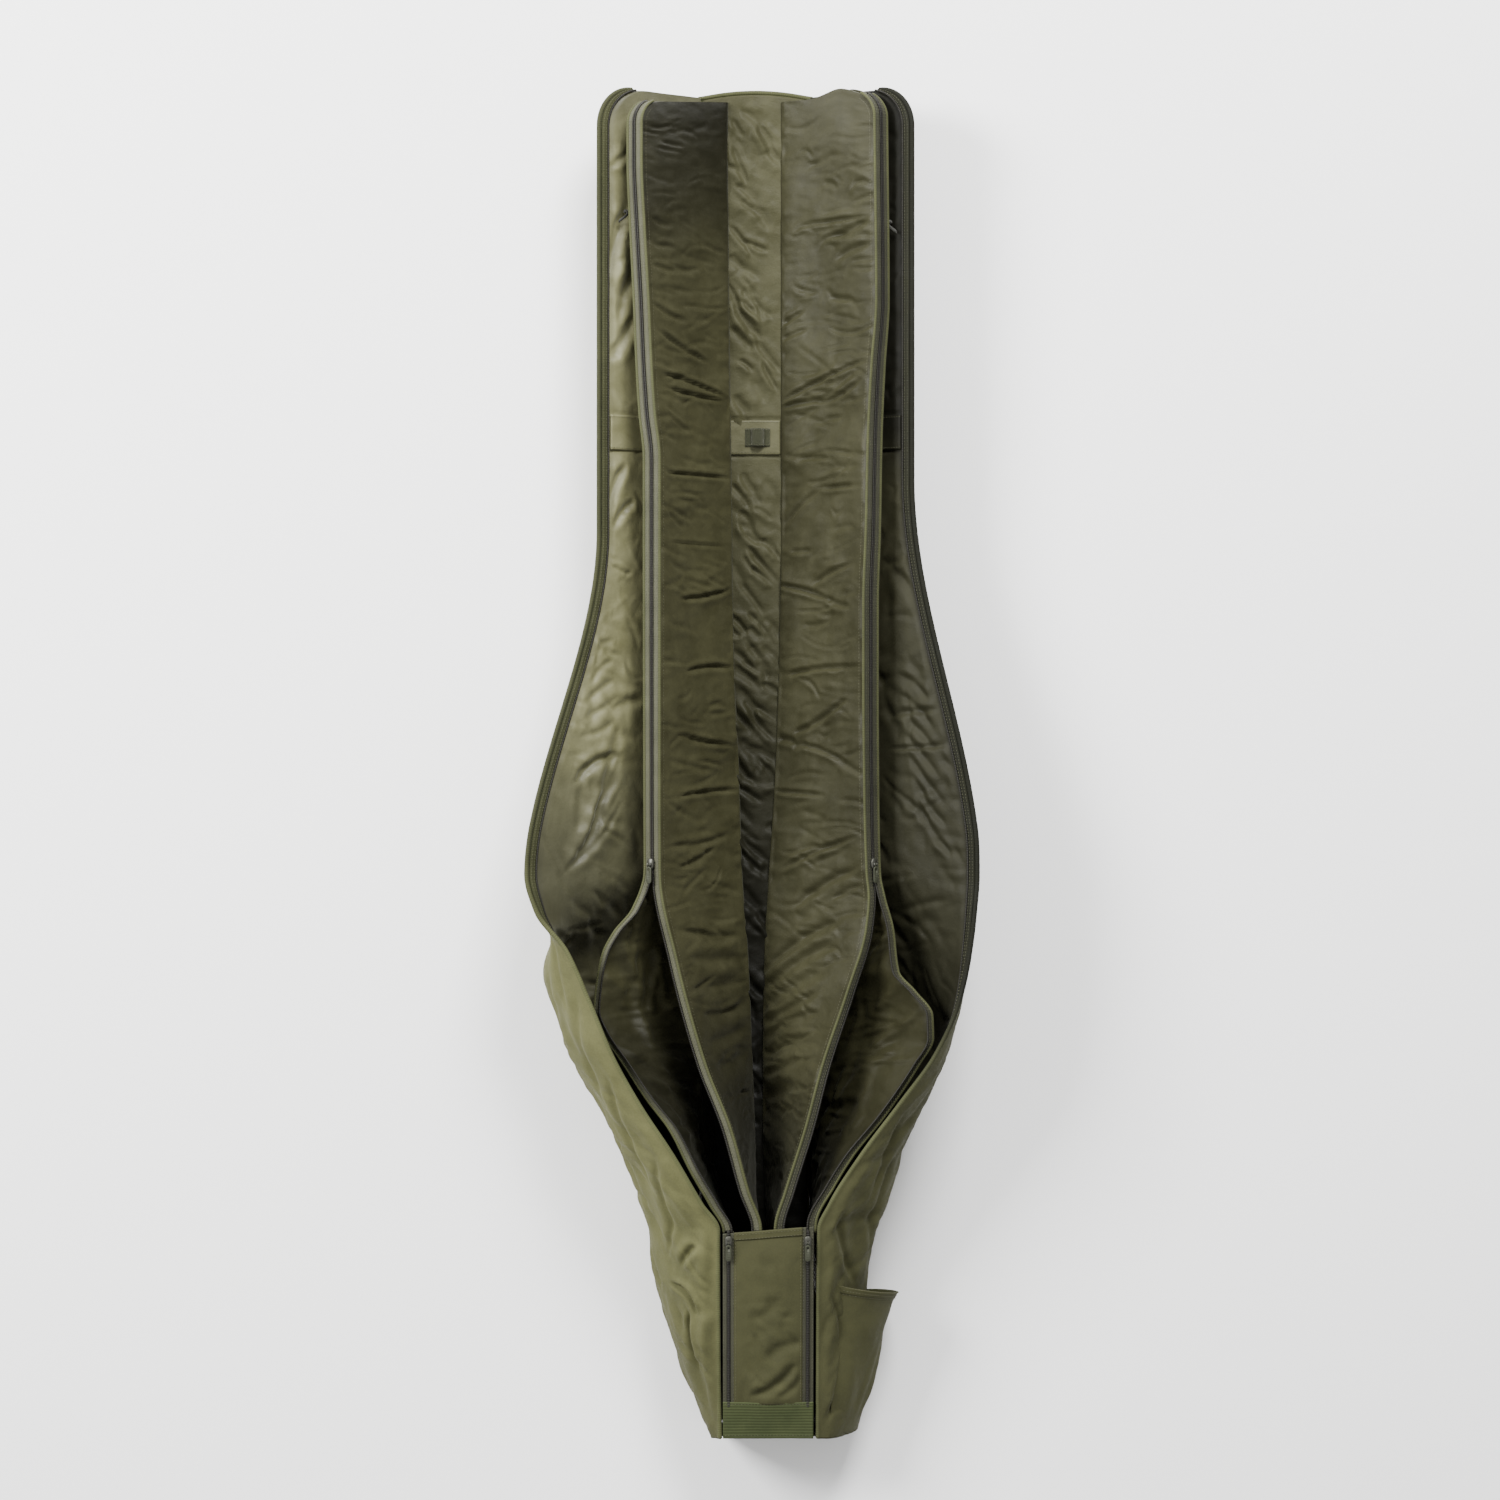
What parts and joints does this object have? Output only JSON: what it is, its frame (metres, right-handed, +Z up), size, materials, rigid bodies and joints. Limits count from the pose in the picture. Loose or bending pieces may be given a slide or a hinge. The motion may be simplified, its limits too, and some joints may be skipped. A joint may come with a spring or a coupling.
{
  "type": "padded fishing rod holdall",
  "caption": "Open padded rod holdall with folding side walls, zipped rod sleeves, a zipped butt end, a side pocket, sliding zip sliders and carry handles.",
  "frame": {"origin": "centre of the bounding box's underside, on the surface that the bag lies on", "axes": "+X across the bag towards its right side seen from above with the tips away, +Y along the bag towards the rod tips, +Z up"},
  "size_m": [0.6557, 1.95, 0.2168],
  "materials": {
    "outer_canvas": "matte, medium-weight coated polyester weave, mid olive",
    "satin_lining": "satin, thin woven nylon lining, light olive with a soft sheen",
    "padded_nylon": "smooth dark olive nylon over thin padding",
    "foam": "closed-cell foam sheet, hidden between the layers",
    "binding_tape": "ribbed grosgrain binding and piping, olive green",
    "webbing": "flat woven webbing, dark olive green",
    "zip_tape": "woven zip tape, grey green, with a black nylon coil",
    "hook_and_loop": "short-pile hook-and-loop tape, olive",
    "slider_metal": "satin grey-black painted zinc",
    "pull_plastic": "moulded soft pull, dark olive"
  },
  "bodies": {
    "bag_base": {"spine_outer": "outer_canvas", "spine_foam": "foam", "spine_lining": "satin_lining", "tip_piping": "binding_tape", "left_butt_side": "outer_canvas", "left_butt_padding": "padded_nylon", "right_butt_side": "outer_canvas", "right_butt_padding": "padded_nylon", "butt_piping": "binding_tape", "butt_zip_halves": "zip_tape", "left_outer_divider": "padded_nylon", "left_inner_divider": "padded_nylon", "right_inner_divider": "padded_nylon", "right_outer_divider": "padded_nylon", "divider_binding": "binding_tape", "front_strip": "outer_canvas", "front_strip_hem": "binding_tape", "butt_band": "webbing", "butt_end_panel": "outer_canvas", "left_front_zip": "zip_tape", "right_front_zip": "zip_tape", "side_pocket": "outer_canvas", "side_pocket_hem": "binding_tape", "centre_strap_patch": "satin_lining"},
    "left_wall": {"left_wall_outer": "outer_canvas", "left_wall_foam": "foam", "left_wall_lining": "satin_lining", "left_wall_piping": "binding_tape", "left_wall_zip": "zip_tape", "left_strap_patch": "satin_lining", "left_handle_webbing": "webbing"},
    "right_wall": {"right_wall_outer": "outer_canvas", "right_wall_foam": "foam", "right_wall_lining": "satin_lining", "right_wall_piping": "binding_tape", "right_wall_zip": "zip_tape", "right_strap_patch": "satin_lining", "right_handle_webbing": "webbing"},
    "left_handle": {"left_handle_grip": "webbing"},
    "right_handle": {"right_handle_grip": "webbing"},
    "left_sleeve": {"left_sleeve_outer_panel": "padded_nylon", "left_sleeve_inner_panel": "padded_nylon", "left_sleeve_band": "zip_tape", "left_sleeve_zip": "zip_tape", "left_sleeve_binding": "binding_tape"},
    "right_sleeve": {"right_sleeve_outer_panel": "padded_nylon", "right_sleeve_inner_panel": "padded_nylon", "right_sleeve_band": "zip_tape", "right_sleeve_zip": "zip_tape", "right_sleeve_binding": "binding_tape"},
    "left_sleeve_slider_body": {"left_sleeve_slider": "slider_metal"},
    "left_sleeve_pull_body": {"left_sleeve_pull": "pull_plastic"},
    "right_sleeve_slider_body": {"right_sleeve_slider": "slider_metal"},
    "right_sleeve_pull_body": {"right_sleeve_pull": "pull_plastic"},
    "left_front_slider_body": {"left_front_slider": "slider_metal"},
    "left_front_pull_body": {"left_front_pull": "pull_plastic"},
    "right_front_slider_body": {"right_front_slider": "slider_metal"},
    "right_front_pull_body": {"right_front_pull": "pull_plastic"},
    "rod_strap": {"centre_rod_strap": "hook_and_loop"}
  },
  "joints": [
    {"name": "left_wall_fold", "type": "hinge", "parent": "bag_base", "child": "left_wall", "pos_m": [-0.076, 0.4, 0.0085], "axis": [0, 1, 0], "range_deg": [0, 44]},
    {"name": "right_wall_fold", "type": "hinge", "parent": "bag_base", "child": "right_wall", "pos_m": [0.09, 0.4, 0.0085], "axis": [0, -1, 0], "range_deg": [0, 44]},
    {"name": "left_sleeve_fold", "type": "hinge", "parent": "bag_base", "child": "left_sleeve", "pos_m": [-0.031, 0.4, 0.0085], "axis": [0, 1, 0], "range_deg": [0, 32]},
    {"name": "right_sleeve_fold", "type": "hinge", "parent": "bag_base", "child": "right_sleeve", "pos_m": [0.044, 0.4, 0.0085], "axis": [0, -1, 0], "range_deg": [0, 40]},
    {"name": "left_handle_swing", "type": "hinge", "parent": "left_wall", "child": "left_handle", "pos_m": [-0.19745, 0.06, 0.09831], "axis": [0, 1, 0], "range_deg": [-44, 30]},
    {"name": "right_handle_swing", "type": "hinge", "parent": "right_wall", "child": "right_handle", "pos_m": [0.21145, 0.06, 0.09831], "axis": [0, -1, 0], "range_deg": [-44, 30]},
    {"name": "left_sleeve_zip_slide", "type": "slide", "parent": "left_sleeve", "child": "left_sleeve_slider_body", "axis": [0, 1, 0], "range_m": [0, 1.03]},
    {"name": "left_sleeve_pull_swing", "type": "hinge", "parent": "left_sleeve_slider_body", "child": "left_sleeve_pull_body", "pos_m": [-0.1452, -0.1438, 0.16578], "axis": [-0.848, 0, -0.5299], "range_deg": [0, 150]},
    {"name": "right_sleeve_zip_slide", "type": "slide", "parent": "right_sleeve", "child": "right_sleeve_slider_body", "axis": [0, 1, 0], "range_m": [0, 1.03]},
    {"name": "right_sleeve_pull_swing", "type": "hinge", "parent": "right_sleeve_slider_body", "child": "right_sleeve_pull_body", "pos_m": [0.17898, -0.1438, 0.14836], "axis": [-0.766, 0, 0.6428], "range_deg": [0, 150]},
    {"name": "left_front_zip_slide", "type": "slide", "parent": "bag_base", "child": "left_front_slider_body", "axis": [0, -0.9847, -0.1743], "range_m": [0, 0.22]},
    {"name": "left_front_pull_swing", "type": "hinge", "parent": "left_front_slider_body", "child": "left_front_pull_body", "pos_m": [-0.0315, -0.6817, 0.1837], "axis": [-1, 0, 0], "range_deg": [0, 150]},
    {"name": "right_front_zip_slide", "type": "slide", "parent": "bag_base", "child": "right_front_slider_body", "axis": [0, -0.9847, -0.1743], "range_m": [0, 0.22]},
    {"name": "right_front_pull_swing", "type": "hinge", "parent": "right_front_slider_body", "child": "right_front_pull_body", "pos_m": [0.0815, -0.6817, 0.1837], "axis": [-1, 0, 0], "range_deg": [0, 150]},
    {"name": "rod_strap_peel", "type": "hinge", "parent": "bag_base", "child": "rod_strap", "pos_m": [-0.008, 0.478, 0.0083], "axis": [0, -1, 0], "range_deg": [0, 88]}
  ],
  "couplings": [
    {"joint": "left_sleeve_fold", "follows": "left_wall_fold", "ratio": 0.72717},
    {"joint": "right_sleeve_fold", "follows": "right_wall_fold", "ratio": 0.90899}
  ]
}
